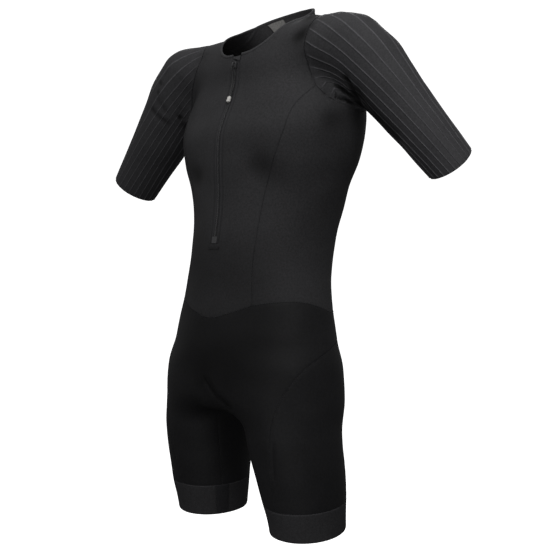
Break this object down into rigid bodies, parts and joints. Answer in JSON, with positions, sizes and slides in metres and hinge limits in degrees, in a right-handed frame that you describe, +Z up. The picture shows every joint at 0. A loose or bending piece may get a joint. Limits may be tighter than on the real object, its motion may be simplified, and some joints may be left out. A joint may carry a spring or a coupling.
{
  "type": "short-sleeved triathlon suit",
  "caption": "Short-sleeved one-piece racing suit, filled out with no wearer, with ribbed sleeves, a front zip with a hinged pull, and wide gripper bands at the thighs.",
  "frame": {"origin": "between the shoulders, level with the base of the neck, where the wearer holds the suit up", "axes": "+Z up the body, -Y the way the chest faces, +X the suit's left side"},
  "size_m": [0.8028, 0.271, 0.9029],
  "materials": {
    "jersey": "smooth matt stretch knit, black",
    "shorts": "dense smooth stretch knit, black",
    "sleeve": "knit with fine raised lengthwise ribs, black",
    "band": "elastic gripper band, charcoal",
    "insert": "elastic join, darker charcoal",
    "binding": "folded binding tape, black",
    "label": "plain grey woven label",
    "tape": "herringbone zip tape, black",
    "coil": "nylon coil, black",
    "hard": "moulded zip hardware, black",
    "cord": "thin rubberised cord, dark grey",
    "tip": "moulded tip, off-white"
  },
  "bodies": {
    "suit": {"front_body": "jersey", "back_body": "jersey", "side_panel_left": "jersey", "side_panel_right": "jersey", "hip_front": "shorts", "seat_back": "shorts", "outer_leg_left": "shorts", "outer_leg_right": "shorts", "leg_band_left": "band", "leg_band_right": "band", "band_insert_left": "insert", "band_insert_right": "insert", "sleeve_left": "sleeve", "sleeve_right": "sleeve", "neck_binding": "binding", "neck_label": "label", "zip_tape_left": "tape", "zip_tape_right": "tape", "zip_coil": "coil", "zip_end_box": "hard", "zip_end_bar": "tape", "zip_garage": "binding", "zip_slider": "hard"},
    "pull": {"pull_loop": "cord", "pull_tip": "tip"}
  },
  "joints": [
    {"name": "pull_hinge", "type": "hinge", "parent": "suit", "child": "pull", "pos_m": [0, -0.0995, -0.0834], "axis": [-1, 0, 0], "range_deg": [0, 150]}
  ]
}
